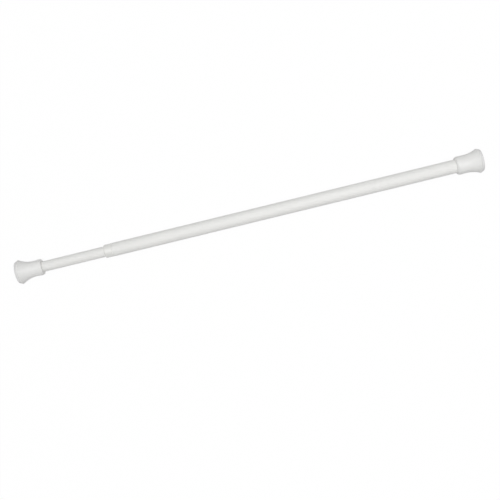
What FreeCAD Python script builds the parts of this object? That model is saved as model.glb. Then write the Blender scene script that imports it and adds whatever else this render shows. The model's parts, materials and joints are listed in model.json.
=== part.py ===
import FreeCAD, Part
import Sketcher
import math
import os
import re

# Spring tension rod: two telescoping tubes with flared, rubber-padded ends, set to length by a twist.
# X runs along the rod and +Z is up. The origin is the middle of the fixed pad's wall face, +X points
# into that wall, and the rod runs from it towards -X.

# Driving dimensions, in millimetres
SIZES = {
    # Tubes
    "outer_diameter": 19.2,
    "tube_wall": 0.6,
    "telescope_gap": 1.5,
    "outer_tube_length": 517.5,
    "exposed_length": 91.0,
    # Mouth collar
    "collar_nose": 11.5,
    "collar_round": 1.6,
    "collar_back_round": 0.45,
    "collar_spigot": 14.0,
    "collar_clearance": 0.15,
    "press_clearance": 0.03,
    # Both end caps
    "cap_length": 33.0,
    "rim_diameter": 34.5,
    "rim_round": 0.8,
    "rim_wall": 2.2,
    "socket_depth": 22.0,
    "socket_chamfer": 0.4,
    "web_thickness": 2.5,
    "seat_depth": 3.0,
    "seat_ledge": 1.5,
    "core_inset": 0.9,
    "rib_thickness": 1.6,
    "rib_root": 0.5,
    # Flares and necks, one for each tube
    "fixed_flare_length": 20.0,
    "fixed_neck_wall": 3.15,
    "fixed_bead_height": 0.2,
    "fixed_bead_crown": 4.5,
    "fixed_bead_drop": 1.8,
    "sliding_flare_length": 22.0,
    "sliding_neck_wall": 3.55,
    "sliding_bead_height": 0.5,
    "sliding_bead_crown": 3.5,
    "sliding_bead_drop": 0.8,
    # Wall pads
    "pad_lip": 4.0,
    "pad_inset": 0.9,
    "pad_draft": 1.5,
    "pad_seat_gap": 0.2,
    "grip_first": 5.0,
    "grip_pitch": 3.2,
    "grip_width": 1.2,
    "grip_depth": 0.6,
    # Guide plug and its rivets
    "shank_length": 18.0,
    "shank_chamfer": 0.8,
    "guide_length": 8.0,
    "guide_clearance": 0.2,
    "spigot_length": 4.0,
    "spigot_clearance": 0.2,
    "rivet_diameter": 2.4,
    "rivet_setback": 9.0,
    "rivet_reach": 2.6,
    "rivet_head_margin": 0.8,
    "rivet_head_height": 0.7,
    # Spring and washers
    "spring_diameter": 13.0,
    "wire_diameter": 1.4,
    "spring_length": 62.0,
    "spring_turns": 8.0,
    "washer_thickness": 1.0,
    "washer_margin": 1.0,
    "washer_clearance": 0.15,
    "stop_washer_gap": 1.0,
    # Spindle and its clips
    "spindle_width": 6.0,
    "spindle_clearance": 0.1,
    "spindle_chamfer": 0.5,
    "shoulder_margin": 2.5,
    "shoulder_thickness": 2.0,
    "end_length": 2.0,
    "clip_thickness": 0.8,
    "clip_play": 0.1,
    "clip_depth": 0.6,
    "clip_rim": 2.4,
    "clip_fit": 0.05,
    "clip_snap": 0.2,
    # Expander sleeve and cone
    "sleeve_length": 30.0,
    "sleeve_clearance": 0.15,
    "sleeve_wall": 2.2,
    "sleeve_floor": 3.0,
    "sleeve_play": 0.1,
    "slot_width": 1.8,
    "slot_start": 8.0,
    "taper_length": 10.0,
    "taper_rise": 1.4,
    "draw_gap": 1.4,
    "cone_length": 12.0,
    "cone_head": 3.0,
    "cone_stop_gap": 0.3,
    "thread_fit": 0.05,
    "key_clearance": 0.2,
    "key_length": 5.0,
    "key_inset": 0.4,
    "nose_room": 55.0,
}
GRIP_RINGS = 3
CAP_RIBS = 6
SLEEVE_SLOTS = 4
CONE_KEYS = 2
RIVETS = 2

# Radii and widths that follow from the driving dimensions
OUTER_R = "outer_diameter / 2"
BORE_R = "(outer_diameter / 2 - tube_wall)"
INNER_R = "(outer_diameter / 2 - tube_wall - telescope_gap)"
INNER_BORE_R = "(outer_diameter / 2 - 2 * tube_wall - telescope_gap)"
COIL_R = "(spring_diameter / 2 - wire_diameter / 2)"
SPIGOT_R = "(spring_diameter / 2 - wire_diameter - spigot_clearance)"
SPINDLE_CORNER_R = "(spindle_width / sqrt(3))"
THREAD_R = "(spindle_width / 2)"
CLIP_GROOVE_R = "(spindle_width / 2 - clip_depth)"
CLIP_SLOT = "(clip_thickness + 2 * clip_play)"
SLEEVE_R = f"({BORE_R} - sleeve_clearance)"
SLEEVE_BORE_R = f"({SLEEVE_R} - sleeve_wall)"

# Stations: distances from the fixed wall face, along the rod
CAP_SEAT = "(pad_lip + cap_length - socket_depth)"
TUBE_MOUTH = f"({CAP_SEAT} + outer_tube_length)"
COLLAR_FACE = f"({TUBE_MOUTH} + collar_nose)"
OVERALL = f"({COLLAR_FACE} + exposed_length + cap_length + pad_lip)"
CONE_REACH = "(sleeve_play + sleeve_length - taper_length + draw_gap + cone_length + cone_head)"
NOSE_LENGTH = f"({CONE_REACH} + cone_stop_gap + {CLIP_SLOT} + end_length)"
SPRING_STACK = "(2 * washer_thickness + spring_length)"
SHOULDER_FRONT = f"({CAP_SEAT} + nose_room + {NOSE_LENGTH})"
SPRING_FRONT = f"({SHOULDER_FRONT} + shoulder_thickness)"
PLUG_FACE = f"({SPRING_FRONT} + {SPRING_STACK})"
INNER_END = f"({PLUG_FACE} + guide_length)"
PLUG_TAIL = f"({INNER_END} + shank_length)"
SPINDLE_TAIL = f"({PLUG_TAIL} + washer_thickness + {CLIP_SLOT} + end_length)"

doc = FreeCAD.newDocument("SpringTensionRod")
sheet = doc.addObject("Spreadsheet::Sheet", "Sizes")
for row, (alias, size) in enumerate(SIZES.items(), start=1):
    sheet.set(f"A{row}", alias)
    sheet.set(f"B{row}", str(size))
    sheet.setAlias(f"B{row}", alias)
doc.recompute()


def bound(formula):
    """The formula with each size read from the sheet, for an expression on another object."""
    return re.sub(r"\b[a-z][a-z_]*\b(?!\()", r"Sizes.\g<0>", formula)


def number(formula):
    """The formula's value in millimetres."""
    return float(sheet.evalExpression(formula))


def origin_feature(body, role):
    """One of the body's own origin planes or axes."""
    return next(feature for feature in body.Origin.OriginFeatures if feature.Role == role)


def fix_coordinate(sketch, kind, element, point, formula):
    """Holds a point at a bound distance from the sketch's origin, along X or Y."""
    if formula == "0":
        axis = -2 if kind == "DistanceX" else -1
        sketch.addConstraint(Sketcher.Constraint("PointOnObject", element, point, axis))
        return
    distance = number(formula)
    if distance > 0:
        constraint = Sketcher.Constraint(kind, -1, 1, element, point, distance)
        expression = bound(formula)
    else:
        constraint = Sketcher.Constraint(kind, element, point, -1, 1, -distance)
        expression = bound(f"-({formula})")
    index = sketch.addConstraint(constraint)
    sketch.renameConstraint(index, f"size{index}")
    sketch.setExpression(f"Constraints.size{index}", expression)


def arc_between(start, end, centre_x):
    """The short arc between two points whose centre lies at centre_x, and whether it runs backwards."""
    rise = 2 * (end.y - start.y)
    square_gap = end.x ** 2 + end.y ** 2 - start.x ** 2 - start.y ** 2
    centre = FreeCAD.Vector(centre_x, (square_gap - 2 * centre_x * (end.x - start.x)) / rise, 0)
    first = math.atan2(start.y - centre.y, start.x - centre.x)
    last = math.atan2(end.y - centre.y, end.x - centre.x)
    backwards = (last - first) % (2 * math.pi) > math.pi
    if backwards:
        first, last = last, first
    circle = Part.Circle(centre, FreeCAD.Vector(0, 0, 1), (start - centre).Length)
    return Part.ArcOfCircle(circle, first, last), backwards


def add_outline(sketch, corners):
    """Draws a closed outline. A corner is (x, y), or (x, y, centre x) where an arc leaves it."""
    points = [FreeCAD.Vector(number(corner[0]), number(corner[1]), 0) for corner in corners]
    elements = []
    for index, corner in enumerate(corners):
        start = points[index]
        end = points[(index + 1) % len(points)]
        if len(corner) == 3:
            curve, backwards = arc_between(start, end, number(corner[2]))
        else:
            curve, backwards = Part.LineSegment(start, end), False
        element = sketch.addGeometry(curve)
        elements.append((element, 2, 1) if backwards else (element, 1, 2))
    for index, (element, start_point, _) in enumerate(elements):
        previous, _, previous_end = elements[index - 1]
        sketch.addConstraint(Sketcher.Constraint("Coincident", previous, previous_end, element, start_point))
        fix_coordinate(sketch, "DistanceX", element, start_point, corners[index][0])
        fix_coordinate(sketch, "DistanceY", element, start_point, corners[index][1])
        if len(corners[index]) == 3:
            fix_coordinate(sketch, "DistanceX", element, 3, corners[index][2])


def add_sketch(body, name, role, *outlines):
    """A sketch on one of the body's origin planes, with one or more closed outlines."""
    sketch = body.newObject("Sketcher::SketchObject", name)
    sketch.AttachmentSupport = (origin_feature(body, role), [""])
    sketch.MapMode = "FlatFace"
    for corners in outlines:
        add_outline(sketch, corners)
    return sketch


def rectangle(low_x, high_x, low_y, high_y):
    """Corners of an upright rectangle."""
    return [(low_x, low_y), (high_x, low_y), (high_x, high_y), (low_x, high_y)]


def hexagon(width):
    """Corners of a regular hexagon, given its width across the flats."""
    corner = f"({width}) / sqrt(3)"
    half = f"({width}) / 2"
    upper = [(corner, "0"), (f"{corner} / 2", half), (f"-{corner} / 2", half)]
    lower = [(f"-{corner}", "0"), (f"-{corner} / 2", f"-{half}"), (f"{corner} / 2", f"-{half}")]
    return upper + lower


def octagon(centre, radius):
    """Corners of a regular octagon on the sketch's X, which stands for a round wire's section."""
    slant = f"{radius} / sqrt(2)"
    far = f"{centre} + {radius}"
    near = f"{centre} - {radius}"
    high = f"{centre} + {slant}"
    low = f"{centre} - {slant}"
    upper = [(far, "0"), (high, slant), (centre, radius), (low, slant)]
    lower = [(near, "0"), (low, f"-{slant}"), (centre, f"-{radius}"), (high, f"-{slant}")]
    return upper + lower


def new_body(label, station, towards_wall=True):
    """A body whose own X starts at a station and runs towards the fixed wall, or away from it."""
    body = doc.addObject("PartDesign::Body", label)
    body.Label = label
    turn = FreeCAD.Rotation(FreeCAD.Vector(0, 0, 1), 0 if towards_wall else 180)
    body.Placement = FreeCAD.Placement(FreeCAD.Vector(), turn)
    body.setExpression("Placement.Base.x", bound(f"-({station})"))
    return body


def turned(body, kind, name, *outlines, axis="H_Axis"):
    """A Revolution or a Groove of outlines in the body's XZ plane, about its own X or Z."""
    sketch = add_sketch(body, f"{name}_profile", "XZ_Plane", *outlines)
    feature = body.newObject(f"PartDesign::{kind}", name)
    feature.Profile = sketch
    feature.ReferenceAxis = (sketch, [axis])
    feature.Angle = 360
    return feature


def through_cut(body, name, role, outline, side="Symmetric"):
    """A Pocket through the whole body from one of its origin planes."""
    pocket = body.newObject("PartDesign::Pocket", name)
    pocket.Profile = add_sketch(body, f"{name}_profile", role, outline)
    pocket.Type = "ThroughAll"
    pocket.SideType = side
    return pocket


def plate(body, name, outline, thickness):
    """A Pad of an outline in the body's XZ plane, evenly to both sides."""
    pad = body.newObject("PartDesign::Pad", name)
    pad.Profile = add_sketch(body, f"{name}_profile", "XZ_Plane", outline)
    pad.SideType = "Symmetric"
    pad.setExpression("Length", bound(thickness))
    return pad


def around_axis(body, name, feature, count):
    """Repeats a feature evenly around the rod's axis."""
    pattern = body.newObject("PartDesign::PolarPattern", name)
    pattern.Originals = [feature]
    pattern.Axis = (origin_feature(body, "X_Axis"), [""])
    pattern.Angle = 360
    pattern.Occurrences = count
    body.Tip = pattern
    return pattern


def round_hole(body, name, station, diameter):
    """A round hole straight through the body, across the rod, on its local Z."""
    sketch = add_sketch(body, f"{name}_profile", "XY_Plane")
    centre = FreeCAD.Vector(number(station), 0, 0)
    circle = sketch.addGeometry(Part.Circle(centre, FreeCAD.Vector(0, 0, 1), number(diameter) / 2))
    fix_coordinate(sketch, "DistanceX", circle, 3, station)
    fix_coordinate(sketch, "DistanceY", circle, 3, "0")
    index = sketch.addConstraint(Sketcher.Constraint("Diameter", circle, number(diameter)))
    sketch.renameConstraint(index, "diameter")
    sketch.setExpression("Constraints.diameter", bound(diameter))
    pocket = body.newObject("PartDesign::Pocket", name)
    pocket.Profile = sketch
    pocket.Type = "ThroughAll"
    pocket.SideType = "Symmetric"
    return pocket


def ring(label, station, inner_radius, outer_radius, thickness):
    """A plain washer."""
    body = new_body(label, station)
    turned(body, "Revolution", f"{label}_ring", rectangle("0", thickness, inner_radius, outer_radius))
    return body


def make_outer_tube():
    """The wide tube, from its seat in the fixed cap to the collar."""
    body = new_body("outer_tube", CAP_SEAT, towards_wall=False)
    turned(body, "Revolution", "outer_wall", rectangle("0", "outer_tube_length", BORE_R, OUTER_R))
    return body


def make_inner_tube():
    """The narrow tube, from its seat in the sliding cap back to the guide plug, with two rivet holes."""
    length = f"({OVERALL} - {CAP_SEAT} - {INNER_END})"
    body = new_body("inner_tube", f"{OVERALL} - {CAP_SEAT}")
    turned(body, "Revolution", "inner_wall", rectangle("0", length, INNER_BORE_R, INNER_R))
    hole = "rivet_diameter + 2 * press_clearance"
    round_hole(body, "tube_rivet_holes", f"{length} - rivet_setback", hole)
    return body


def make_mouth_collar():
    """The ring at the outer tube's mouth: a round nose flush with the tube, and a spigot inside it."""
    bore = f"{INNER_R} + collar_clearance"
    spigot = f"{BORE_R} - press_clearance"
    back = "(collar_nose - collar_back_round)"
    end = "collar_nose + collar_spigot"
    corners = [
        ("0", bore),
        ("0", f"{OUTER_R} - collar_round", "collar_round"),
        ("collar_round", OUTER_R),
        (back, OUTER_R, back),
        ("collar_nose", f"{OUTER_R} - collar_back_round"),
        ("collar_nose", spigot),
        (end, spigot),
        (end, bore),
    ]
    body = new_body("mouth_collar", COLLAR_FACE)
    turned(body, "Revolution", "collar_ring", corners)
    return body


def make_end_cap(label, side, tube_radius, station, towards_wall):
    """A flared cap: a beaded neck with the tube's socket, and a ribbed, hollow trumpet for the pad."""
    socket = f"{tube_radius} + press_clearance"
    waist = f"{tube_radius} + {side}_neck_wall"
    bead = f"{waist} + {side}_bead_height"
    crown = f"cap_length - {side}_bead_crown"
    waist_start = f"{side}_flare_length"
    rim = "rim_diameter / 2"
    seat = f"({rim} - rim_wall)"
    web_inner = "cap_length - socket_depth"
    web_outer = f"({web_inner} - web_thickness)"
    core = f"({waist} - core_inset)"
    corners = [
        ("0", seat),
        ("0", f"{rim} - rim_round", "rim_round"),
        ("rim_round", rim, waist_start),
        (waist_start, waist),
        (crown, bead, crown),
        ("cap_length", f"{bead} - {side}_bead_drop"),
        ("cap_length", f"{socket} + socket_chamfer"),
        ("cap_length - socket_chamfer", socket),
        (web_inner, socket),
        (web_inner, "0"),
        (web_outer, "0"),
        (web_outer, core),
        ("seat_depth", f"{seat} - seat_ledge"),
        ("seat_depth", seat),
    ]
    body = new_body(label, station, towards_wall)
    turned(body, "Revolution", f"{side}_trumpet", corners)
    rib = [
        ("seat_depth", "0"),
        (f"{web_outer} + rib_root", "0"),
        (f"{web_outer} + rib_root", core),
        ("seat_depth", f"{seat} - seat_ledge + rib_root"),
    ]
    rib_plate = plate(body, f"{side}_rib", rib, "rib_thickness")
    around_axis(body, f"{side}_ribs", rib_plate, CAP_RIBS)
    return body


def make_wall_pad(label, station, towards_wall):
    """A rubber pad: a drafted lip past the cap's rim, a spigot in its seat and grip rings on the face."""
    lip = "(rim_diameter / 2 - pad_inset)"
    spigot = "rim_diameter / 2 - rim_wall - press_clearance"
    end = "pad_lip + seat_depth - pad_seat_gap"
    corners = [
        ("0", "0"),
        ("0", f"{lip} - pad_draft", "pad_lip"),
        ("pad_lip", lip),
        ("pad_lip", spigot),
        (end, spigot),
        (end, "0"),
    ]
    body = new_body(label, station, towards_wall)
    turned(body, "Revolution", f"{label}_disc", corners)
    rings = []
    for index in range(GRIP_RINGS):
        inner = f"grip_first + {index} * grip_pitch"
        rings.append(rectangle("0", "grip_depth", inner, f"{inner} + grip_width"))
    turned(body, "Groove", f"{label}_grip_rings", *rings)
    return body


def make_guide_plug():
    """The inner tube's end plug: a shank in the tube, a guide flange, a spring spigot and a hexagon bore."""
    shank = f"({INNER_BORE_R} - press_clearance)"
    guide = f"{BORE_R} - guide_clearance"
    face = "(shank_length + guide_length)"
    corners = [
        ("0", "0"),
        ("0", f"{shank} - shank_chamfer"),
        ("shank_chamfer", shank),
        ("shank_length", shank),
        ("shank_length", guide),
        (face, guide),
        (face, SPIGOT_R),
        (f"{face} + spigot_length", SPIGOT_R),
        (f"{face} + spigot_length", "0"),
    ]
    body = new_body("guide_plug", PLUG_TAIL)
    turned(body, "Revolution", "plug_body", corners)
    through_cut(body, "plug_hexagon", "YZ_Plane", hexagon("spindle_width + 2 * spindle_clearance"))
    hole = "rivet_diameter + 2 * press_clearance"
    round_hole(body, "plug_rivet_holes", "shank_length - rivet_setback", hole)
    return body


def make_plug_rivets():
    """The rivets through the inner tube into the plug, one above and one below."""
    shank = "rivet_diameter / 2"
    head = f"({shank} + rivet_head_margin)"
    top = f"({INNER_R} + rivet_head_height)"
    corners = [
        ("0", f"{INNER_BORE_R} - rivet_reach"),
        (shank, f"{INNER_BORE_R} - rivet_reach"),
        (shank, INNER_R),
        (head, INNER_R, "0"),
        ("0", top),
    ]
    body = new_body("plug_rivets", f"{INNER_END} + rivet_setback")
    rivet = turned(body, "Revolution", "rivet", corners, axis="V_Axis")
    around_axis(body, "rivet_pair", rivet, RIVETS)
    return body


def make_lock_spindle():
    """The hexagon bar with a shoulder for the spring, a round nose for the cone, and two clip grooves."""
    hexagon_length = f"({SPINDLE_TAIL} - {SPRING_FRONT})"
    nose_start = f"({SPINDLE_TAIL} - {SHOULDER_FRONT})"
    total = f"({nose_start} + {NOSE_LENGTH})"
    shoulder = f"{SPINDLE_CORNER_R} + shoulder_margin"
    beyond = f"{SPINDLE_CORNER_R} + spindle_chamfer"
    body = new_body("lock_spindle", SPINDLE_TAIL)
    bar = body.newObject("PartDesign::Pad", "spindle_bar")
    bar.Profile = add_sketch(body, "spindle_bar_profile", "YZ_Plane", hexagon("spindle_width"))
    bar.setExpression("Length", bound(hexagon_length))
    nose = [
        (hexagon_length, "0"),
        (hexagon_length, shoulder),
        (nose_start, shoulder),
        (nose_start, THREAD_R),
        (f"{total} - spindle_chamfer", THREAD_R),
        (total, f"{THREAD_R} - spindle_chamfer"),
        (total, "0"),
    ]
    turned(body, "Revolution", "spindle_nose", nose)
    tail_slot = rectangle("end_length", f"end_length + {CLIP_SLOT}", CLIP_GROOVE_R, beyond)
    nose_slot_end = f"({total} - end_length)"
    nose_slot = rectangle(f"{nose_slot_end} - {CLIP_SLOT}", nose_slot_end, CLIP_GROOVE_R, beyond)
    tail_chamfer = [
        ("0", f"{SPINDLE_CORNER_R} - spindle_chamfer"),
        ("2 * spindle_chamfer", beyond),
        ("0", beyond),
    ]
    turned(body, "Groove", "spindle_grooves", tail_slot, nose_slot, tail_chamfer)
    return body


def make_tension_spring():
    """The coil spring, its ends ground flat on the two washers."""
    label = "tension_spring"
    coil = doc.addObject("PartDesign::Body", f"{label}_coil")
    sketch = add_sketch(coil, "wire_profile", "XZ_Plane", octagon(COIL_R, "wire_diameter / 2"))
    helix = coil.newObject("PartDesign::AdditiveHelix", "coil_turns")
    helix.Profile = sketch
    helix.ReferenceAxis = (sketch, ["V_Axis"])
    helix.Mode = "height-turns-angle"
    helix.setExpression("Height", bound("spring_length"))
    helix.setExpression("Turns", bound("spring_turns"))
    helix.Angle = 0
    ground = doc.addObject("Part::Cylinder", f"{label}_ground_ends")
    ground.setExpression("Radius", bound("spring_diameter"))
    ground.setExpression("Height", bound("spring_length"))
    spring = doc.addObject("Part::Common", label)
    spring.Label = label
    spring.Base = coil
    spring.Tool = ground
    lying = FreeCAD.Rotation(FreeCAD.Vector(0, 1, 0), 90)
    spring.Placement = FreeCAD.Placement(FreeCAD.Vector(), lying)
    spring.setExpression("Placement.Base.x", bound(f"-({PLUG_FACE} - washer_thickness)"))
    return spring


def make_clip(label, station):
    """A push-on clip for a spindle groove: a ring that is open on one side."""
    inner = f"{CLIP_GROOVE_R} + clip_fit"
    body = ring(label, station, inner, f"{CLIP_GROOVE_R} + clip_rim", "clip_thickness")
    half_gap = f"({CLIP_GROOVE_R} - clip_snap)"
    gap = rectangle("0", "clip_thickness", f"-{half_gap}", half_gap)
    through_cut(body, f"{label}_gap", "XY_Plane", gap, side="One side")
    return body


def make_expander_sleeve():
    """The slotted sleeve that is spread against the outer tube: a floor that turns on the spindle's nose,
    and four fingers with a taper inside for the cone."""
    taper_start = "(sleeve_length - taper_length)"
    corners = [
        ("0", f"{THREAD_R} + washer_clearance"),
        ("0", SLEEVE_R),
        ("sleeve_length", SLEEVE_R),
        ("sleeve_length", f"{SLEEVE_BORE_R} + taper_rise"),
        (taper_start, SLEEVE_BORE_R),
        ("sleeve_floor", SLEEVE_BORE_R),
        ("sleeve_floor", f"{THREAD_R} + washer_clearance"),
    ]
    body = new_body("expander_sleeve", f"{SHOULDER_FRONT} - sleeve_play")
    turned(body, "Revolution", "sleeve_barrel", corners)
    slot = rectangle("slot_start", "sleeve_length", "-slot_width / 2", "slot_width / 2")
    cut = through_cut(body, "finger_slot", "XY_Plane", slot, side="One side")
    around_axis(body, "finger_slots", cut, SLEEVE_SLOTS)
    return body


def make_cone_nut():
    """The cone on the spindle's nose, with keys in two of the sleeve's slots so that it can't turn."""
    bore = f"{THREAD_R} + thread_fit"
    large = f"({SLEEVE_BORE_R} + taper_rise * cone_length / taper_length)"
    corners = [
        ("0", bore),
        ("0", SLEEVE_BORE_R),
        ("cone_length", large),
        ("cone_length + cone_head", large),
        ("cone_length + cone_head", bore),
    ]
    tip = f"{SHOULDER_FRONT} - sleeve_play - sleeve_length + taper_length - draw_gap"
    body = new_body("cone_nut", tip)
    turned(body, "Revolution", "cone_body", corners)
    key_top = f"{SLEEVE_R} - key_inset"
    key = plate(body, "cone_key", rectangle("0", "key_length", f"{SLEEVE_BORE_R} - key_inset", key_top),
                "slot_width - 2 * key_clearance")
    around_axis(body, "cone_keys", key, CONE_KEYS)
    return body


spindle_hole = f"{SPINDLE_CORNER_R} + washer_clearance"
spring_washer = "spring_diameter / 2 + washer_margin"
pieces = [
    make_outer_tube(),
    make_mouth_collar(),
    make_end_cap("fixed_end_cap", "fixed", OUTER_R, "pad_lip", towards_wall=False),
    make_wall_pad("fixed_end_pad", "0", towards_wall=False),
    make_inner_tube(),
    make_end_cap("sliding_end_cap", "sliding", INNER_R, f"{OVERALL} - pad_lip", towards_wall=True),
    make_wall_pad("sliding_end_pad", OVERALL, towards_wall=True),
    make_guide_plug(),
    make_plug_rivets(),
    ring("rear_spring_washer", PLUG_FACE, f"{SPIGOT_R} + washer_clearance", spring_washer,
         "washer_thickness"),
    make_tension_spring(),
    ring("front_spring_washer", f"{SPRING_FRONT} + washer_thickness", spindle_hole, spring_washer,
         "washer_thickness"),
    make_lock_spindle(),
    ring("stop_washer", f"{PLUG_TAIL} + washer_thickness", spindle_hole,
         f"{INNER_BORE_R} - stop_washer_gap", "washer_thickness"),
    make_clip("stop_clip", f"{PLUG_TAIL} + washer_thickness + clip_play + clip_thickness"),
    make_expander_sleeve(),
    make_cone_nut(),
    make_clip("end_clip", f"{SHOULDER_FRONT} - {NOSE_LENGTH} + end_length + clip_play + clip_thickness"),
]
doc.recompute()

for item in doc.Objects:
    if "Invalid" in item.State or "Error" in item.State:
        raise RuntimeError(f"{item.Label} could not be built: {item.State}")
for piece in pieces:
    if piece.Shape.isNull() or not piece.Shape.isValid():
        raise RuntimeError(f"{piece.Label} has no valid shape")

os.makedirs("parts", exist_ok=True)
for piece in pieces:
    piece.Shape.exportStep(f"parts/{piece.Label}.step")
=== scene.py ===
"""The looks of a spring tension rod: white telescoping tubes with flared, padded ends.

Each piece is built on the CAD frame, in its place and on its body.
"""

import json
import math

import bmesh
import bpy
from bpy.props import FloatProperty, FloatVectorProperty, IntProperty, PointerProperty
from bpy.types import Operator, Panel, PropertyGroup
from mathutils import Matrix, Vector


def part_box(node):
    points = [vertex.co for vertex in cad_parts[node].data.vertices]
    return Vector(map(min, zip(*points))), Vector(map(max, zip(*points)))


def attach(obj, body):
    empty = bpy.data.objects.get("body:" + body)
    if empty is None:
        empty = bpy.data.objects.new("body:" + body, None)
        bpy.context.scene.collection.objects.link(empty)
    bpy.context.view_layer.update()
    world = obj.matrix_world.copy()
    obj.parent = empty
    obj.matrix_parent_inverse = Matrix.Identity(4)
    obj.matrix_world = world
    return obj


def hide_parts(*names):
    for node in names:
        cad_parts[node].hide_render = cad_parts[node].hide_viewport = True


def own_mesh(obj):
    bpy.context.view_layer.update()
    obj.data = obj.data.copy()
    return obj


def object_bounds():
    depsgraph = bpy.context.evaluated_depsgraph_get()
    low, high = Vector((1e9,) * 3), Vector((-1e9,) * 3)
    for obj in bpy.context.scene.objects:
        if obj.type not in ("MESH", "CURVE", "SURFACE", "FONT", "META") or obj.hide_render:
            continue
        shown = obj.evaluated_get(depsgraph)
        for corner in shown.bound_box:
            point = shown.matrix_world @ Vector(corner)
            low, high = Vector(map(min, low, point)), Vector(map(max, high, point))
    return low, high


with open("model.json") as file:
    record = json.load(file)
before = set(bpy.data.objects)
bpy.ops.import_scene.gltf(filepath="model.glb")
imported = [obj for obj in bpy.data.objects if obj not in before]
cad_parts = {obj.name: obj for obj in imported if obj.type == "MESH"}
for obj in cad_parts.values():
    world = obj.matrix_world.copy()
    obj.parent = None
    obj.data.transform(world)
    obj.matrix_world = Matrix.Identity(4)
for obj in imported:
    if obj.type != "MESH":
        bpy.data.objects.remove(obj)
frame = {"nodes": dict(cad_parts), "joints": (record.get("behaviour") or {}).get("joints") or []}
CAD_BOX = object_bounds()

bl_info = {
    "name": "Spring Tension Rod",
    "version": (1, 0, 0),
    "blender": (4, 5, 0),
    "location": "View3D > Sidebar > Tension Rod",
    "description": "Dresses the frame of a spring tension rod and sets its stage",
    "category": "Object",
}

MILLIMETRE = 0.001
MICROMETRE = 0.000001
FULL_TURN = 2 * math.pi
WELD_DISTANCE = 1e-6
ARC_TOLERANCE = 1e-5
CUT_TOLERANCE = 1e-9
SHARP_SHADING_ANGLE = math.radians(32)
BROKEN_EDGE_ANGLE = math.radians(40)
BROKEN_EDGE_SEGMENTS = 3
HEXAGON_SIDES = 6
PHOTO_WIDTH = 500
SENSOR_WIDTH = 36.0
WHITE = (1.0, 1.0, 1.0)


def length(name, description, millimetres):
    """A length that a user may change, kept in metres and given here in millimetres."""
    return FloatProperty(name=name, description=description, default=millimetres * MILLIMETRE,
                         min=0.0, unit="LENGTH", precision=5)


def count(name, description, number, least):
    """A whole number that a user may change."""
    return IntProperty(name=name, description=description, default=number, min=least)


def amount(name, description, value, **limits):
    """A value, such as a strength, a power or a share, that a user may change."""
    return FloatProperty(name=name, description=description, default=value, min=0.0, **limits)


def angle(name, description, degrees):
    """An angle that a user may change, given here in degrees."""
    return FloatProperty(name=name, description=description, default=math.radians(degrees), subtype="ANGLE")


def colour(name, description, red, green, blue):
    """A colour that a user may change."""
    return FloatVectorProperty(name=name, description=description, default=(red, green, blue),
                               size=3, subtype="COLOR", min=0.0, max=1.0)


class RodSizes(PropertyGroup):
    """Sizes of the tubes and their collar that the frame's boxes don't give."""

    facets: count("Facets", "Flat sides round each turned piece", 144, 24)
    edge_break: length("Edge break", "Width of the small round on a piece's sharp edges", 0.18)
    tube_wall: length("Tube wall", "Thickness of both steel tubes", 0.6)
    rivet_hole: length("Rivet hole", "Diameter of the inner tube's holes for the plug's rivets", 2.46)
    hole_facets: count("Hole facets", "Flat sides round a rivet hole", 32, 8)
    collar_nose: length("Collar nose", "Length of the collar outside the tube", 11.5)
    collar_round: length("Collar round", "Radius on the collar's mouth", 1.6)
    collar_back_round: length("Collar back round", "Radius on the collar's edge by the tube", 0.45)
    collar_play: length("Collar play", "Gap between the collar and the inner tube", 0.15)
    collar_fit: length("Collar fit", "Gap between the collar's spigot and the outer tube", 0.03)


class CapSizes(PropertyGroup):
    """Sizes of the two flared caps and their wall pads."""

    rim_round: length("Rim round", "Radius on the rim's edge", 0.8)
    rim_wall: length("Rim wall", "Wall of the rim round the pad", 2.2)
    socket_depth: length("Socket depth", "How far the tube goes into the cap", 22.0)
    socket_fit: length("Socket fit", "Gap between the tube and its socket", 0.03)
    socket_chamfer: length("Socket chamfer", "Lead-in at the socket's mouth", 0.4)
    web: length("Web", "Thickness of the floor between socket and trumpet", 2.5)
    core_inset: length("Core inset", "How far the hollow stays inside the waist", 0.9)
    seat_depth: length("Seat depth", "Depth of the pad's seat", 3.0)
    seat_ledge: length("Seat ledge", "Width of the ledge under the pad", 1.5)
    rib: length("Rib", "Thickness of the ribs in the hollow", 1.6)
    rib_root: length("Rib root", "How far a rib runs into the wall", 0.5)
    rib_count: count("Ribs", "Ribs in each hollow", 6, 0)
    fixed_flare: length("Fixed flare", "Length of the fixed trumpet, from rim to waist", 20.0)
    fixed_neck_wall: length("Fixed neck wall", "Wall of the waist round the outer tube", 3.15)
    fixed_bead: length("Fixed bead", "Height of the fixed neck's bead", 0.2)
    fixed_crown: length("Fixed crown", "Distance of that bead's crown from the neck's end", 4.5)
    fixed_drop: length("Fixed drop", "Fall from that crown to the neck's end", 1.8)
    sliding_flare: length("Sliding flare", "Length of the sliding trumpet, from rim to waist", 22.0)
    sliding_neck_wall: length("Sliding neck wall", "Wall of the waist round the inner tube", 3.55)
    sliding_bead: length("Sliding bead", "Height of the sliding neck's bead", 0.5)
    sliding_crown: length("Sliding crown", "Distance of that bead's crown from the neck's end", 3.5)
    sliding_drop: length("Sliding drop", "Fall from that crown to the neck's end", 0.8)
    pad_lip: length("Pad lip", "Thickness of the pad outside the cap", 4.0)
    pad_draft: length("Pad draft", "How far the lip narrows towards the wall", 1.5)
    pad_fit: length("Pad fit", "Gap between the pad and its seat", 0.03)
    grip_first: length("First grip ring", "Inner radius of the first groove in the pad's face", 5.0)
    grip_pitch: length("Grip pitch", "Distance from one groove to the next", 3.2)
    grip_width: length("Grip width", "Width of a groove", 1.2)
    grip_depth: length("Grip depth", "Depth of a groove", 0.6)
    grip_count: count("Grip rings", "Grooves in each pad's face", 3, 0)


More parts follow.
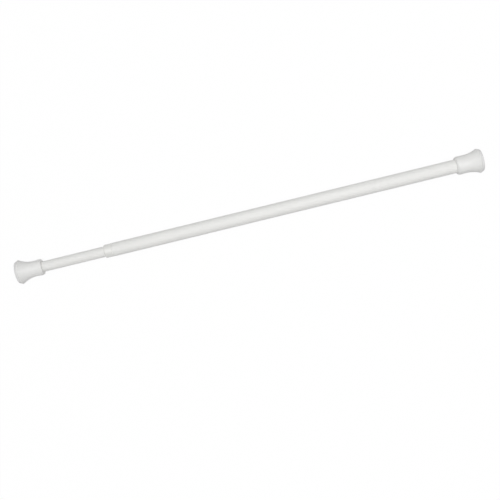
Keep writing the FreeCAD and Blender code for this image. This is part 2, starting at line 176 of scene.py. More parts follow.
class LockSizes(PropertyGroup):
    """Sizes of the spring and of the spindle that it drives."""

    wire: length("Wire", "Diameter of the spring's wire", 1.4)
    wire_facets: count("Wire facets", "Flat sides round the spring's wire", 14, 6)
    turns: count("Turns", "Turns of the spring", 8, 2)
    turn_steps: count("Steps", "Steps in one turn of wire or thread", 48, 12)
    spindle_flats: length("Spindle flats", "Width of the hexagon bar across its flats", 6.0)
    spindle_facets: count("Spindle facets", "Flat sides round the spindle's round stretches", 48, 12)
    spindle_chamfer: length("Spindle chamfer", "Chamfer on the bar's two ends", 0.5)
    spindle_shoulder: length("Shoulder", "Thickness of the shoulder under the spring", 2.0)
    clip_setback: length("Clip setback", "Distance of a clip's groove from the bar's end", 2.0)
    clip_groove: length("Clip groove", "Width of a clip's groove", 1.0)
    clip_depth: length("Clip depth", "Depth of a clip's groove below the flats", 0.6)
    nose: length("Nose", "Length of the round nose in front of the shoulder", 39.8)
    thread_pitch: length("Thread pitch", "How far the cone moves in one turn", 1.5)
    thread_depth: length("Thread depth", "Height of the thread's ridge", 0.55)
    thread_length: length("Thread length", "Threaded stretch behind the front clip", 27.0)
    thread_foot: amount("Thread foot", "Width of the ridge's foot as a share of the pitch", 0.92, max=1.0)
    thread_crest: amount("Thread crest", "Width of the crest as a share of the foot's", 0.1, max=1.0)
    thread_sink: amount("Thread sink", "How far the foot is sunk, as a share of the depth", 0.25, max=1.0)


class RodFinishes(PropertyGroup):
    """Colours of the rod's finishes."""

    coat: colour("Tube coat", "White powder coat on both tubes", 0.85, 0.85, 0.83)
    collar: colour("Collar", "Smooth white plastic of the mouth collar", 0.772, 0.772, 0.747)
    cap: colour("Caps", "Satin white plastic of the flared caps", 0.825, 0.825, 0.811)
    pad: colour("Pads", "Soft white rubber of the wall pads", 0.787, 0.786, 0.782)
    nylon: colour("Nylon", "Natural nylon of the plug and the sleeve", 0.72, 0.70, 0.63)
    brass: colour("Brass", "Turned brass of the cone", 0.72, 0.55, 0.27)
    zinc: colour("Zinc", "Zinc plating of the spindle and washers", 0.66, 0.67, 0.68)
    steel: colour("Spring steel", "Drawn steel of the spring and clips", 0.40, 0.40, 0.41)
    aluminium: colour("Aluminium", "Pressed aluminium of the rivets", 0.77, 0.77, 0.78)


class RodStage(PropertyGroup):
    """The floor, the lights and the camera."""

    floor_colour: colour("Floor", "Pale floor, as it lights the rod from below", 0.6, 0.6, 0.6)
    floor_roughness: amount("Floor roughness", "Roughness of the floor", 0.9, max=1.0)
    floor_white: amount("Floor white", "Share of plain white in the floor as seen", 0.965, max=1.0)
    floor_size: length("Floor size", "Half the floor's side", 6000.0)
    sky: amount("Sky", "Strength of the even light from all round", 0.325)
    key_power: amount("Key light", "Power of the soft light above the rod", 172.0, unit="POWER")
    key_size: length("Key size", "Side of the soft light", 6000.0)
    key_height: length("Key height", "Height of the soft light above the rod", 6000.0)
    glint_power: amount("Glint light", "Power of the near light over the fixed end", 13.0, unit="POWER")
    glint_size: length("Glint size", "Side of the near light", 1000.0)
    glint_shift: length("Glint shift", "How far towards the fixed end the near light stands", 700.0)
    glint_height: length("Glint height", "Height of the near light above the rod", 2200.0)
    fill_power: amount("Fill light", "Power of the light from the sliding end's side", 32.0, unit="POWER")
    fill_size: length("Fill size", "Side of the fill light", 3000.0)
    fill_shift: length("Fill shift", "How far towards the sliding end the light stands", 5000.0)
    fill_height: length("Fill height", "Height of the fill light above the rod", 4000.0)
    focal_pixels: amount("Focal length", "Focal length in pixels of the photograph", 853.0)
    photo_scale: length("Photo scale", "Length on the rod that a pixel of the photograph shows", 1.408)
    aim_along: length("Aim along", "Distance of the camera's aim from the fixed wall face", 344.1)
    aim_below: length("Aim below", "Distance of the aim from the rod, down the picture", 46.1)
    roll: angle("Roll", "Rise of the rod to the right of the picture", 13.62)
    yaw: angle("Yaw", "Turn that brings the fixed end nearer", 1.5)


class RodSettings(PropertyGroup):
    """All settings of the rod."""

    sizes: PointerProperty(type=RodSizes)
    caps: PointerProperty(type=CapSizes)
    lock: PointerProperty(type=LockSizes)
    finishes: PointerProperty(type=RodFinishes)
    stage: PointerProperty(type=RodStage)


def radius_of(node):
    """A CAD node's reach from the rod's axis."""
    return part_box(node)[1].y


def wall_end(node, side):
    """The place of a node's wall side, the way from there into the rod, and the node's length."""
    low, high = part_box(node)
    origin, towards = (high.x, -1) if side == "fixed" else (low.x, 1)
    return origin, towards, high.x - low.x


class Outline:
    """Half a section in the plane Y = 0, drawn by stations along the rod and radii from its axis."""

    def __init__(self, origin, towards, station, radius):
        self.origin = origin
        self.towards = towards
        self.mesh = bmesh.new()
        self.tip = self.mesh.verts.new(self.point(station, radius))
        self.start = self.tip
        self.reached = (station, radius)

    def point(self, station, radius):
        """A station and a radius as a point of the frame."""
        return Vector((self.origin + self.towards * station, 0.0, radius))

    def line(self, station, radius):
        """Draws a straight stretch."""
        grown = bmesh.ops.extrude_vert_indiv(self.mesh, verts=[self.tip])
        self.tip = grown["verts"][0]
        self.tip.co = self.point(station, radius)
        self.reached = (station, radius)
        return self

    def arc(self, station, radius, centre_station, steps):
        """Draws a round stretch about a centre at centre_station."""
        first_station, first_radius = self.reached
        back = first_station - centre_station
        ahead = station - centre_station
        rise = radius - first_radius
        centre_radius = (ahead ** 2 - back ** 2 + radius ** 2 - first_radius ** 2) / (2 * rise)
        first_angle = math.atan2(first_radius - centre_radius, back)
        last_angle = math.atan2(radius - centre_radius, ahead)
        turn = math.remainder(last_angle - first_angle, FULL_TURN)
        centre = self.point(centre_station, centre_radius)
        swept = bmesh.ops.spin(self.mesh, geom=[self.tip], cent=centre, axis=(0.0, -self.towards, 0.0),
                               angle=turn, steps=steps)
        self.tip = next(part for part in swept["geom_last"] if isinstance(part, bmesh.types.BMVert))
        if (self.tip.co - self.point(station, radius)).length > ARC_TOLERANCE:
            raise RuntimeError("an arc of an outline misses its end")
        self.tip.co = self.point(station, radius)
        self.reached = (station, radius)
        return self

    def turned(self, facets):
        """The closed outline, turned once round the rod's axis."""
        if self.start.co.z > 0 or self.tip.co.z > 0:
            self.mesh.edges.new((self.tip, self.start))
        bmesh.ops.spin(self.mesh, geom=self.mesh.verts[:] + self.mesh.edges[:], cent=(0.0, 0.0, 0.0),
                       axis=(1.0, 0.0, 0.0), angle=FULL_TURN, steps=facets, use_merge=True)
        return closed(self.mesh)


def closed(mesh):
    """The mesh with its seams and poles welded and its faces turned outwards."""
    bmesh.ops.remove_doubles(mesh, verts=mesh.verts[:], dist=WELD_DISTANCE)
    bmesh.ops.recalc_face_normals(mesh, faces=mesh.faces[:])
    return mesh


def filled(mesh):
    """The mesh with a face over each open rim, closed."""
    rims = [edge for edge in mesh.edges if edge.is_boundary]
    bmesh.ops.holes_fill(mesh, edges=rims, sides=0)
    return closed(mesh)


def broken_edges(mesh, width):
    """The mesh with a small round on every sharp edge."""
    sharp = [edge for edge in mesh.edges
             if edge.is_manifold and edge.calc_face_angle() > BROKEN_EDGE_ANGLE]
    bmesh.ops.bevel(mesh, geom=sharp, offset=width, offset_type="OFFSET", segments=BROKEN_EDGE_SEGMENTS,
                    profile=0.5, affect="EDGES", material=-1, clamp_overlap=True)
    return mesh


def combined(first, second, operation):
    """Two closed meshes made one by Blender's exact Boolean."""
    helpers = []
    for mesh in (first, second):
        data = bpy.data.meshes.new("boolean_helper")
        mesh.to_mesh(data)
        mesh.free()
        helper = bpy.data.objects.new("boolean_helper", data)
        bpy.context.scene.collection.objects.link(helper)
        helpers.append(helper)
    base, tool = helpers
    boolean = base.modifiers.new("boolean", "BOOLEAN")
    boolean.operation = operation
    boolean.solver = "EXACT"
    boolean.object = tool
    result = bmesh.new()
    result.from_object(base, bpy.context.evaluated_depsgraph_get())
    for helper in helpers:
        data = helper.data
        bpy.data.objects.remove(helper)
        bpy.data.meshes.remove(data)
    return result


def coil(section, pitch, turns, turn_steps):
    """A section swept round the rod's axis and along it."""
    steps = round(turns * turn_steps)
    bmesh.ops.spin(section, geom=section.verts[:] + section.edges[:], cent=(0.0, 0.0, 0.0),
                   axis=(1.0, 0.0, 0.0), angle=FULL_TURN * turns, steps=steps,
                   dvec=(pitch * turns / steps, 0.0, 0.0))
    return filled(section)


def add_piece(mesh, node, body, material):
    """Makes a mesh the piece that stands for a CAD node and rides on its body."""
    data = bpy.data.meshes.new(f"{node}_look")
    mesh.to_mesh(data)
    mesh.free()
    data.shade_smooth()
    data.set_sharp_from_angle(angle=SHARP_SHADING_ANGLE)
    data.materials.append(material)
    piece = bpy.data.objects.new(f"{node}_look", data)
    bpy.context.scene.collection.objects.link(piece)
    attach(piece, body)
    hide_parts(node)
    return piece


class Wire:
    """A shader socket that takes part in Python sums; each sum adds its Math node."""

    def __init__(self, graph, socket):
        self.graph = graph
        self.socket = socket

    def math(self, operation, *values):
        return self.graph.node("ShaderNodeMath", dict(enumerate(values)), operation=operation)

    def __add__(self, other):
        return self.math("ADD", self, other)

    __radd__ = __add__

    def __sub__(self, other):
        return self.math("SUBTRACT", self, other)

    def __rsub__(self, other):
        return self.math("SUBTRACT", other, self)

    def __mul__(self, other):
        return self.math("MULTIPLY", self, other)

    __rmul__ = __mul__

    def __truediv__(self, other):
        return self.math("DIVIDE", self, other)

    def __abs__(self):
        return self.math("ABSOLUTE", self)

    def at_most(self, other):
        return self.math("MINIMUM", self, other)

    def at_least(self, other):
        return self.math("MAXIMUM", self, other)


def live_socket(sockets, name):
    """A node's socket, by its number or by the name that its settings leave in use."""
    if isinstance(name, int):
        return sockets[name]
    return next(socket for socket in sockets if socket.name == name and socket.enabled)


class Graph:
    """A node tree written as expressions."""

    def __init__(self, tree):
        self.tree = tree

    def node(self, kind, sockets=None, output=0, **settings):
        """Adds a node, sets it up, feeds its sockets and gives one of its outputs."""
        node = self.tree.nodes.new(kind)
        for name, value in settings.items():
            setattr(node, name, value)
        self.feed(node, sockets or {})
        return Wire(self, live_socket(node.outputs, output))

    def feed(self, node, sockets):
        """Sets a node's sockets to values, or links them."""
        for name, value in sockets.items():
            socket = live_socket(node.inputs, name)
            if isinstance(value, Wire):
                self.tree.links.new(value.socket, socket)
            else:
                socket.default_value = value

    def seen_directly(self):
        """1 for a ray from the camera or from gloss or glass, 0 for light that is on its way."""
        kinds = ("Is Camera Ray", "Is Glossy Ray", "Is Transmission Ray")
        camera, gloss, glass = (self.node("ShaderNodeLightPath", output=kind) for kind in kinds)
        return camera.at_least(gloss).at_least(glass)


class Finish(Graph):
    """One surface: a Principled shader that is fed by patterns on the piece's own coordinates."""

    def __init__(self, name):
        self.material = bpy.data.materials.new(name)
        self.material.use_nodes = True
        super().__init__(self.material.node_tree)
        self.shader = self.tree.nodes["Principled BSDF"]
        self.place = self.node("ShaderNodeTexCoord", output="Object")

    def noise(self, per_metre, detail=2.0, stretch=(1.0, 1.0, 1.0)):
        """Cloudy noise from 0 to 1; stretch scales the coordinates first."""
        scaled = self.node("ShaderNodeMapping", {"Vector": self.place, "Scale": stretch})
        return self.node("ShaderNodeTexNoise", {"Vector": scaled, "Scale": per_metre, "Detail": detail})

    def axis(self, name):
        """One coordinate, in metres."""
        return self.node("ShaderNodeSeparateXYZ", {"Vector": self.place}, output=name)

    def tint(self, share, first, second):
        """Two colours mixed by a share."""
        colours = {"A": (*first, 1.0), "B": (*second, 1.0)}
        return self.node("ShaderNodeMix", {"Factor": share, **colours}, output="Result", data_type="RGBA")

    def relief(self, height, depth):
        """A bump of so many metres over heights from 0 to 1."""
        return self.node("ShaderNodeBump", {"Height": height, "Distance": depth}, output="Normal")

    def surface(self, sockets):
        """Sets or feeds the shader, and gives the finished material."""
        self.feed(self.shader, sockets)
        return self.material


def shaded(tone, share):
    """A colour, darker by a share."""
    return tuple(channel * (1 - share) for channel in tone)


def powder_coat(name, tone, rubbing_and_painted_shade):
    """White powder coat with fine orange peel; a sliding tube gets streaks from rubbing along its length
    and a darker colour, partly scuffs and partly painted shade.
    """
    coat = Finish(name)
    peel = coat.noise(per_metre=650)
    drift = coat.noise(per_metre=9, detail=3.0)
    rub = coat.noise(per_metre=1500, detail=3.0, stretch=(0.01, 1.0, 1.0))
    wear_and_painted_shade = (drift + rubbing_and_painted_shade * rub) / (1 + rubbing_and_painted_shade)
    # the rubbing amount also darkens the coat's colour: partly scuffs, partly a painted shade standing in
    # for the shade on the sliding tube's lower side
    drift_shade, rub_wear_and_painted_shade = 0.03, 0.05
    roughness, peel_roughness, rub_polish = 0.52, 0.10, 0.06
    return coat.surface({
        "Base Color": coat.tint(wear_and_painted_shade, tone, shaded(tone, drift_shade + rub_wear_and_painted_shade * rubbing_and_painted_shade)),
        "Roughness": roughness + peel_roughness * peel - rub_polish * rubbing_and_painted_shade * rub,
        "Normal": coat.relief(peel, depth=20 * MICROMETRE),
    })


def moulded_plastic(name, tone, roughness, grain, polish):
    """White moulded plastic with a spark-eroded grain and the tool's parting line on both sides.
    Polish adds a clear, glossy skin."""
    plastic = Finish(name)
    sparks = plastic.noise(per_metre=2600)
    flow = plastic.noise(per_metre=28)
    parting_reach = 160 * MICROMETRE
    parting = 1 - (abs(plastic.axis("Z")) / parting_reach).at_most(1.0)
    spark_roughness, parting_roughness, skin_roughness = 0.10, 0.08, 0.14
    return plastic.surface({
        "Base Color": plastic.tint(flow, tone, shaded(tone, share=0.025)),
        "Roughness": roughness + spark_roughness * sparks + parting_roughness * parting,
        "Coat Weight": polish,
        "Coat Roughness": skin_roughness,
        "Normal": plastic.relief(grain * sparks + parting, depth=40 * MICROMETRE),
    })


def wall_rubber(name, tone):
    """Soft white rubber: matt, with a fine grain and a cloudy bloom."""
    rubber = Finish(name)
    grain = rubber.noise(per_metre=1900, detail=3.0)
    bloom = rubber.noise(per_metre=70, detail=4.0)
    roughness, grain_roughness = 0.58, 0.16
    return rubber.surface({
        "Base Color": rubber.tint(bloom, tone, shaded(tone, share=0.05)),
        "Roughness": roughness + grain_roughness * grain,
        "Normal": rubber.relief(grain, depth=30 * MICROMETRE),
    })


def natural_nylon(name, tone):
    """Natural nylon: waxy, a little uneven in colour, with fine moulded grain."""
    nylon = Finish(name)
    cloud = nylon.noise(per_metre=45, detail=3.0)
    grain = nylon.noise(per_metre=2200)
    roughness, grain_roughness = 0.42, 0.16
    return nylon.surface({
        "Base Color": nylon.tint(cloud, tone, shaded(tone, share=0.08)),
        "Roughness": roughness + grain_roughness * grain,
        "Normal": nylon.relief(grain, depth=20 * MICROMETRE),
    })


def turned_metal(name, tone, roughness):
    """Metal with the fine rings that a lathe or a die leaves across the rod."""
    metal = Finish(name)
    rings = metal.noise(per_metre=9000, stretch=(1.0, 0.02, 0.02))
    cloud = metal.noise(per_metre=120, detail=3.0)
    ring_roughness, cloud_roughness = 0.14, 0.08
    return metal.surface({
        "Metallic": 1.0,
        "Base Color": metal.tint(cloud, tone, shaded(tone, share=0.12)),
        "Roughness": roughness + ring_roughness * rings + cloud_roughness * cloud,
        "Normal": metal.relief(rings, depth=6 * MICROMETRE),
    })


class TENSION_ROD_OT_tubes(Operator):
    """Makes both powder-coated tubes, with the rivet holes in the inner one"""

    bl_idname = "tension_rod.tubes"
    bl_label = "Tubes"

    def execute(self, context):
        rod = context.scene.tension_rod
        # the inner tube's 0.6 sets its rub streaks and also paints its coat a little darker, a painted
        # shade for its shaded lower side
        for node, body, rubbing_and_painted_shade in (("outer_tube", "outer", 0.0), ("inner_tube", "inner", 0.6)):
            mesh = self.tube(rod.sizes, node)
            if node == "inner_tube":
                mesh = combined(mesh, self.rivet_drill(rod.sizes), "DIFFERENCE")
            coat = powder_coat(f"{node}_coat", rod.finishes.coat, rubbing_and_painted_shade)
            add_piece(mesh, node, body, coat)
        return {"FINISHED"}

    def tube(self, sizes, node):
        """A plain tube with broken edges."""
        low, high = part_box(node)
        end = high.x - low.x
        outer = radius_of(node)
        bore = outer - sizes.tube_wall
        outline = Outline(low.x, 1, 0.0, bore)
        outline.line(0.0, outer).line(end, outer).line(end, bore)
        return broken_edges(outline.turned(sizes.facets), sizes.edge_break)

    def rivet_drill(self, sizes):
        """The drill that goes right across the tube at its rivets."""
        low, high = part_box("plug_rivets")
        radius = sizes.rivet_hole / 2
        drill = bmesh.new()
        bmesh.ops.create_cone(drill, cap_ends=True, segments=sizes.hole_facets, radius1=radius,
                              radius2=radius, depth=2 * (high.z - low.z),
                              matrix=Matrix.Translation((low + high) / 2))
        return drill


class TENSION_ROD_OT_mouth_collar(Operator):
    """Makes the collar at the outer tube's mouth"""

    bl_idname = "tension_rod.mouth_collar"
    bl_label = "Mouth Collar"

    def execute(self, context):
        rod = context.scene.tension_rod
        plastic = moulded_plastic("collar_plastic", rod.finishes.collar,
                                  roughness=0.24, grain=0.1, polish=1.0)
        add_piece(self.collar(rod.sizes), "mouth_collar", "outer", plastic)
        return {"FINISHED"}

    def collar(self, sizes):
        """The collar, drawn from its mouth to the end of its spigot."""
        low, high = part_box("mouth_collar")
        end = high.x - low.x
        outer = radius_of("mouth_collar")
        bore = radius_of("inner_tube") + sizes.collar_play
        spigot = radius_of("outer_tube") - sizes.tube_wall - sizes.collar_fit
        back = sizes.collar_nose - sizes.collar_back_round
        outline = Outline(low.x, 1, 0.0, bore)
        outline.line(0.0, outer - sizes.collar_round)
        outline.arc(sizes.collar_round, outer, sizes.collar_round, steps=10)
        outline.line(back, outer)
        outline.arc(sizes.collar_nose, outer - sizes.collar_back_round, back, steps=6)
        outline.line(sizes.collar_nose, spigot).line(end, spigot).line(end, bore)
        return broken_edges(outline.turned(sizes.facets), sizes.edge_break)


class TENSION_ROD_OT_end_caps(Operator):
    """Makes both flared caps, each with a beaded neck, a tube socket and a ribbed hollow"""

    bl_idname = "tension_rod.end_caps"
    bl_label = "End Caps"

    def execute(self, context):
        rod = context.scene.tension_rod
        plastic = moulded_plastic("cap_plastic", rod.finishes.cap, roughness=0.45, grain=0.25, polish=0.0)
        for side, tube, body in (("fixed", "outer_tube", "outer"), ("sliding", "inner_tube", "inner")):
            mesh = self.cap(rod, side, radius_of(tube))
            add_piece(mesh, f"{side}_end_cap", body, plastic)
        return {"FINISHED"}

    def cap(self, rod, side, tube_radius):
        """A cap, drawn from its web over its rim to its neck and back to its web."""
        sizes = rod.caps
        flare, neck_wall, bead_height, crown_setback, drop = (
            getattr(sizes, f"{side}_{name}") for name in ("flare", "neck_wall", "bead", "crown", "drop"))
        origin, towards, end = wall_end(f"{side}_end_cap", side)
        rim = radius_of(f"{side}_end_cap")
        waist = tube_radius + neck_wall
        bead = waist + bead_height
        crown = end - crown_setback
        socket = tube_radius + sizes.socket_fit
        seat = rim - sizes.rim_wall
        ledge = seat - sizes.seat_ledge
        web_inner = end - sizes.socket_depth
        web_outer = web_inner - sizes.web
        core = waist - sizes.core_inset
        outline = Outline(origin, towards, web_outer, 0.0)
        outline.line(web_outer, core).line(sizes.seat_depth, ledge).line(sizes.seat_depth, seat)
        outline.line(0.0, seat).line(0.0, rim - sizes.rim_round)
        outline.arc(sizes.rim_round, rim, sizes.rim_round, steps=8)
        outline.arc(flare, waist, flare, steps=32)
        outline.line(crown, bead)
        outline.arc(end, bead - drop, crown, steps=12)
        outline.line(end, socket + sizes.socket_chamfer).line(end - sizes.socket_chamfer, socket)
        outline.line(web_inner, socket).line(web_inner, 0.0)
        shell = broken_edges(outline.turned(rod.sizes.facets), rod.sizes.edge_break)
        rib_profile = (
            outline.point(sizes.seat_depth, 0.0),
            outline.point(web_outer + sizes.rib_root, 0.0),
            outline.point(web_outer + sizes.rib_root, core),
            outline.point(sizes.seat_depth, ledge + sizes.rib_root),
        )
        ribs = bmesh.new()
        for index in range(sizes.rib_count):
            self.add_rib(ribs, rib_profile, sizes.rib, FULL_TURN * index / sizes.rib_count)
        return combined(shell, ribs, "UNION")

    def add_rib(self, ribs, profile, thickness, turn):
        """One rib of the hollow: a plate from the axis to the wall, from the web to the pad's seat."""
        across = Vector((0.0, thickness, 0.0))
        near = [ribs.verts.new(corner - across / 2) for corner in profile]
        grown = bmesh.ops.extrude_face_region(ribs, geom=[ribs.faces.new(near)], use_keep_orig=True)
        far = [part for part in grown["geom"] if isinstance(part, bmesh.types.BMVert)]
        bmesh.ops.translate(ribs, verts=far, vec=across)
        bmesh.ops.rotate(ribs, verts=near + far, cent=(0.0, 0.0, 0.0), matrix=Matrix.Rotation(turn, 3, "X"))
        bmesh.ops.recalc_face_normals(ribs, faces=ribs.faces[:])


class TENSION_ROD_OT_wall_pads(Operator):
    """Makes both rubber pads, each with a rounded lip, a spigot and grip rings on its face"""

    bl_idname = "tension_rod.wall_pads"
    bl_label = "Wall Pads"

    def execute(self, context):
        rod = context.scene.tension_rod
        rubber = wall_rubber("pad_rubber", rod.finishes.pad)
        for side, body in (("fixed", "outer"), ("sliding", "inner")):
            mesh = self.pad(rod, side)
            add_piece(mesh, f"{side}_end_pad", body, rubber)
        return {"FINISHED"}

    def pad(self, rod, side):
        """A pad, drawn from the middle of its wall face to the back of its spigot."""
        sizes = rod.caps
        origin, towards, end = wall_end(f"{side}_end_pad", side)
        lip = radius_of(f"{side}_end_pad")
        spigot = radius_of(f"{side}_end_cap") - sizes.rim_wall - sizes.pad_fit
        outline = Outline(origin, towards, 0.0, 0.0)
        for index in range(sizes.grip_count):
            inner = sizes.grip_first + index * sizes.grip_pitch
            outer = inner + sizes.grip_width
            outline.line(0.0, inner).line(sizes.grip_depth, inner)
            outline.line(sizes.grip_depth, outer).line(0.0, outer)
        outline.line(0.0, lip - sizes.pad_draft)
        outline.arc(sizes.pad_lip, lip, sizes.pad_lip, steps=12)
        outline.line(sizes.pad_lip, spigot).line(end, spigot).line(end, 0.0)
        return broken_edges(outline.turned(rod.sizes.facets), rod.sizes.edge_break)


class TENSION_ROD_OT_tension_spring(Operator):
    """Makes the round-wire spring in one shape; the real spring shortens as the rod is pressed between its
    walls
    """

    bl_idname = "tension_rod.tension_spring"
    bl_label = "Tension Spring"

    def execute(self, context):
        rod = context.scene.tension_rod
        low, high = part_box("tension_spring")
        span = high.x - low.x
        mesh = self.wound_wire(rod.lock, low.x, span)
        self.grind(mesh, low.x, -1.0)
        self.grind(mesh, high.x, 1.0)
        steel = turned_metal("spring_wire_steel", rod.finishes.steel, roughness=0.30)
        spring = add_piece(mesh, "tension_spring", "spindle", steel)
        joint = next(joint for joint in frame["joints"] if joint["name"] == "spring_travel")
        travel = joint["range_m"][1]
        1 - travel / span
        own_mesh(spring)
        return {"FINISHED"}

    def wound_wire(self, sizes, start, span):
        """The wire's round section, wound from end to end of the spring."""
        wire_radius = sizes.wire / 2
        coil_radius = radius_of("tension_spring") - wire_radius
        place = Matrix.Translation((start, 0.0, coil_radius)) @ Matrix.Rotation(math.pi / 2, 4, "X")
        section = bmesh.new()
        bmesh.ops.create_circle(section, segments=sizes.wire_facets, radius=wire_radius, matrix=place)
        return coil(section, span / sizes.turns, sizes.turns, sizes.turn_steps)

    def grind(self, mesh, end, outward):
        """Grinds an end of the coil flat, where a washer bears on it."""
        bmesh.ops.bisect_plane(mesh, geom=mesh.verts[:] + mesh.edges[:] + mesh.faces[:],
                               dist=CUT_TOLERANCE, plane_co=(end, 0.0, 0.0),
                               plane_no=(outward, 0.0, 0.0), clear_outer=True)
        filled(mesh)


class TENSION_ROD_OT_lock_spindle(Operator):
    """Makes the hexagon spindle with its shoulder, clip grooves and threaded nose"""

    bl_idname = "tension_rod.lock_spindle"
    bl_label = "Lock Spindle"

    def execute(self, context):
        rod = context.scene.tension_rod
        mesh = self.bar(rod.lock)
        self.add_thread(mesh, rod.lock)
        zinc = turned_metal("spindle_zinc", rod.finishes.zinc, roughness=0.26)
        add_piece(mesh, "lock_spindle", "spindle", zinc)
        return {"FINISHED"}

    def bar(self, sizes):
        """The bar as rings of six corners or round ones, bridged in a row."""
        low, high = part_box("lock_spindle")
        hexagon, disc = HEXAGON_SIDES, sizes.spindle_facets
        corner = sizes.spindle_flats / math.sqrt(3)
        flat = sizes.spindle_flats / 2
        groove = flat - sizes.clip_depth
        core = flat - sizes.thread_depth
        shoulder = radius_of("lock_spindle")
        nose_start = high.x - sizes.nose
        tail_groove = low.x + sizes.clip_setback
        nose_groove = high.x - sizes.clip_setback - sizes.clip_groove
        thread_start, thread_end = self.thread_stretch(sizes)
        rings = (
            (low.x, corner - sizes.spindle_chamfer, hexagon),
            (low.x + sizes.spindle_chamfer, corner, hexagon),
            (tail_groove, corner, hexagon),
            (tail_groove, groove, disc),
            (tail_groove + sizes.clip_groove, groove, disc),
            (tail_groove + sizes.clip_groove, corner, hexagon),
            (nose_start - sizes.spindle_shoulder, corner, hexagon),
            (nose_start - sizes.spindle_shoulder, shoulder, disc),
            (nose_start, shoulder, disc),
            (nose_start, flat, disc),
            (thread_start, flat, disc),
            (thread_start, core, disc),
            (thread_end, core, disc),
            (thread_end, flat, disc),
            (nose_groove, flat, disc),
            (nose_groove, groove, disc),
            (nose_groove + sizes.clip_groove, groove, disc),
            (nose_groove + sizes.clip_groove, flat, disc),
            (high.x - sizes.spindle_chamfer, flat, disc),
            (high.x, flat - sizes.spindle_chamfer, disc),
        )
        mesh = bmesh.new()
        upright = Matrix.Rotation(math.pi / 2, 4, "Y")
        last = None
        for x, radius, corners in rings:
            is_end = x in (low.x, high.x)
            made = bmesh.ops.create_circle(mesh, cap_ends=is_end, segments=corners, radius=radius,
                                           matrix=Matrix.Translation((x, 0.0, 0.0)) @ upright)
            ring = {edge for vert in made["verts"] for edge in vert.link_edges}
            if last:
                bmesh.ops.bridge_loops(mesh, edges=list(last | ring))
            last = ring
        return closed(mesh)

    def thread_stretch(self, sizes):
        """Where the thread starts and ends, a pitch behind the front clip's groove."""
        nose_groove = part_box("lock_spindle")[1].x - sizes.clip_setback - sizes.clip_groove
        thread_end = nose_groove - sizes.thread_pitch
        return thread_end - sizes.thread_length, thread_end

    def add_thread(self, mesh, sizes):
        """Winds the thread's ridge round the nose."""
        crest = sizes.spindle_flats / 2
        foot = crest - sizes.thread_depth * (1 + sizes.thread_sink)
        half_foot = sizes.thread_pitch * sizes.thread_foot / 2
        half_crest = half_foot * sizes.thread_crest
        middle = self.thread_stretch(sizes)[0] + half_foot
        profile = ((-half_foot, foot), (half_foot, foot), (half_crest, crest), (-half_crest, crest))
        ridge = bmesh.new()
        section = [ridge.verts.new((middle + offset, 0.0, radius)) for offset, radius in profile]
        for index, vert in enumerate(section):
            ridge.edges.new((section[index - 1], vert))
        turns = (sizes.thread_length - 2 * half_foot) / sizes.thread_pitch
        coil(ridge, sizes.thread_pitch, turns, sizes.turn_steps)
        data = bpy.data.meshes.new("thread_ridge")
        ridge.to_mesh(data)
        ridge.free()
        mesh.from_mesh(data)
        bpy.data.meshes.remove(data)


class TENSION_ROD_OT_lock_finishes(Operator):
    """Finishes the lock's pieces that keep their CAD shapes"""

    bl_idname = "tension_rod.lock_finishes"
    bl_label = "Lock Finishes"

    def execute(self, context):
        tones = context.scene.tension_rod.finishes
        nylon = natural_nylon("lock_nylon", tones.nylon)
        zinc = turned_metal("washer_zinc", tones.zinc, roughness=0.28)
        steel = turned_metal("clip_steel", tones.steel, roughness=0.34)
        finishes = {
            "guide_plug": nylon,
            "expander_sleeve": nylon,
            "plug_rivets": turned_metal("rivet_aluminium", tones.aluminium, roughness=0.36),
            "cone_nut": turned_metal("cone_brass", tones.brass, roughness=0.24),
            "rear_spring_washer": zinc,
            "front_spring_washer": zinc,
            "stop_washer": zinc,
            "stop_clip": steel,
            "end_clip": steel,
        }
        for node, finish in finishes.items():
            data = frame["nodes"][node].data
            data.materials.clear()
            data.materials.append(finish)
        return {"FINISHED"}


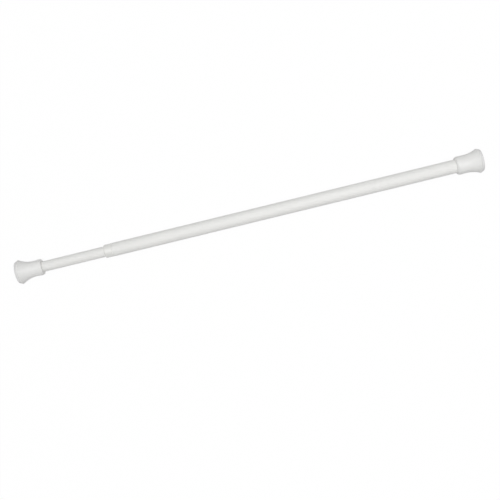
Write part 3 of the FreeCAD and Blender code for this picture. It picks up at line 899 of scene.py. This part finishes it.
class TENSION_ROD_OT_stage(Operator):
    """Lays the rod on a white floor under three soft lights, seen from above"""

    bl_idname = "tension_rod.stage"
    bl_label = "Stage"

    def execute(self, context):
        stage = context.scene.tension_rod.stage
        self.add_floor(context, stage)
        self.set_sky(context, stage)
        self.add_light(context, "key_light", stage.key_power, stage.key_size,
                       Vector((0.0, 0.0, stage.key_height)))
        self.add_light(context, "glint_light", stage.glint_power, stage.glint_size,
                       Vector((stage.glint_shift, 0.0, stage.glint_height)))
        self.add_light(context, "fill_light", stage.fill_power, stage.fill_size,
                       Vector((-stage.fill_shift, 0.0, stage.fill_height)))
        self.add_camera(context, stage)
        context.scene.view_settings.view_transform = "Standard"
        return {"FINISHED"}

    def add_floor(self, context, stage):
        """A white floor under the rims that keeps a faint shadow."""
        mesh = bmesh.new()
        bmesh.ops.create_grid(mesh, x_segments=1, y_segments=1, size=stage.floor_size,
                              matrix=Matrix.Translation((0.0, 0.0, CAD_BOX[0].z)))
        data = bpy.data.meshes.new("floor")
        mesh.to_mesh(data)
        mesh.free()
        floor = bpy.data.objects.new("floor", data)
        context.scene.collection.objects.link(floor)
        paint = Finish("floor_white")
        seen = paint.seen_directly()
        paint.feed(paint.shader, {
            "Base Color": paint.tint(seen, stage.floor_colour, WHITE),
            "Roughness": stage.floor_roughness,
        })
        lit = Wire(paint, paint.shader.outputs[0])
        white = paint.node("ShaderNodeEmission", {"Color": (*WHITE, 1.0), "Strength": 1.0})
        shown = paint.node("ShaderNodeMixShader", {0: stage.floor_white * seen, 1: lit, 2: white})
        paint.feed(paint.tree.nodes["Material Output"], {"Surface": shown})
        data.materials.append(paint.material)

    def set_sky(self, context, stage):
        """Even light from all round, which the camera sees as plain white."""
        world = bpy.data.worlds.new("studio")
        world.use_nodes = True
        context.scene.world = world
        sky = Graph(world.node_tree)
        lighting = sky.node("ShaderNodeBackground", {"Color": (*WHITE, 1.0), "Strength": stage.sky})
        white = sky.node("ShaderNodeBackground", {"Color": (*WHITE, 1.0), "Strength": 1.0})
        shown = sky.node("ShaderNodeMixShader", {0: sky.seen_directly(), 1: lighting, 2: white})
        sky.feed(sky.tree.nodes["World Output"], {"Surface": shown})

    def add_light(self, context, name, power, side, place):
        """A square light that faces the middle of the rod, placed from there."""
        data = bpy.data.lights.new(name, "AREA")
        data.shape = "SQUARE"
        data.size = side
        data.energy = power
        light = bpy.data.objects.new(name, data)
        light.location = (CAD_BOX[0] + CAD_BOX[1]) / 2 + place
        light.rotation_euler = place.to_track_quat("Z", "Y").to_euler()
        context.scene.collection.objects.link(light)

    def add_camera(self, context, stage):
        """A camera above the rod, rolled so that the rod rises to the right."""
        data = bpy.data.cameras.new("camera")
        data.sensor_width = SENSOR_WIDTH
        data.lens = SENSOR_WIDTH * stage.focal_pixels / PHOTO_WIDTH
        camera = bpy.data.objects.new("camera", data)
        aim = Matrix.Translation((-stage.aim_along, -stage.aim_below, 0.0))
        turn = Matrix.Rotation(stage.yaw, 4, "Y") @ Matrix.Rotation(-stage.roll, 4, "Z")
        back = Matrix.Translation((0.0, 0.0, stage.focal_pixels * stage.photo_scale))
        camera.matrix_world = aim @ turn @ back
        context.scene.collection.objects.link(camera)
        context.scene.camera = camera


OPERATORS = (
    TENSION_ROD_OT_tubes,
    TENSION_ROD_OT_mouth_collar,
    TENSION_ROD_OT_end_caps,
    TENSION_ROD_OT_wall_pads,
    TENSION_ROD_OT_tension_spring,
    TENSION_ROD_OT_lock_spindle,
    TENSION_ROD_OT_lock_finishes,
    TENSION_ROD_OT_stage,
)


class VIEW3D_PT_tension_rod(Panel):
    """Settings and steps of the tension rod"""

    bl_label = "Tension Rod"
    bl_space_type = "VIEW_3D"
    bl_region_type = "UI"
    bl_category = "Tension Rod"

    def draw(self, context):
        rod = context.scene.tension_rod
        for name in ("sizes", "caps", "lock", "finishes", "stage"):
            group = getattr(rod, name)
            box = self.layout.box()
            box.label(text=name.capitalize())
            for setting in group.bl_rna.properties:
                if not setting.is_readonly and setting.identifier != "name":
                    box.prop(group, setting.identifier)
        for operator in OPERATORS:
            self.layout.operator(operator.bl_idname)


CLASSES = (
    RodSizes,
    CapSizes,
    LockSizes,
    RodFinishes,
    RodStage,
    RodSettings,
    *OPERATORS,
    VIEW3D_PT_tension_rod,
)


def register():
    for cls in CLASSES:
        bpy.utils.register_class(cls)
    bpy.types.Scene.tension_rod = PointerProperty(type=RodSettings)


def unregister():
    del bpy.types.Scene.tension_rod
    for cls in reversed(CLASSES):
        bpy.utils.unregister_class(cls)


def main():
    register()
    bpy.ops.tension_rod.tubes()
    bpy.ops.tension_rod.mouth_collar()
    bpy.ops.tension_rod.end_caps()
    bpy.ops.tension_rod.wall_pads()
    bpy.ops.tension_rod.tension_spring()
    bpy.ops.tension_rod.lock_spindle()
    bpy.ops.tension_rod.lock_finishes()
    bpy.ops.tension_rod.stage()


if __name__ == "__main__":
    main()
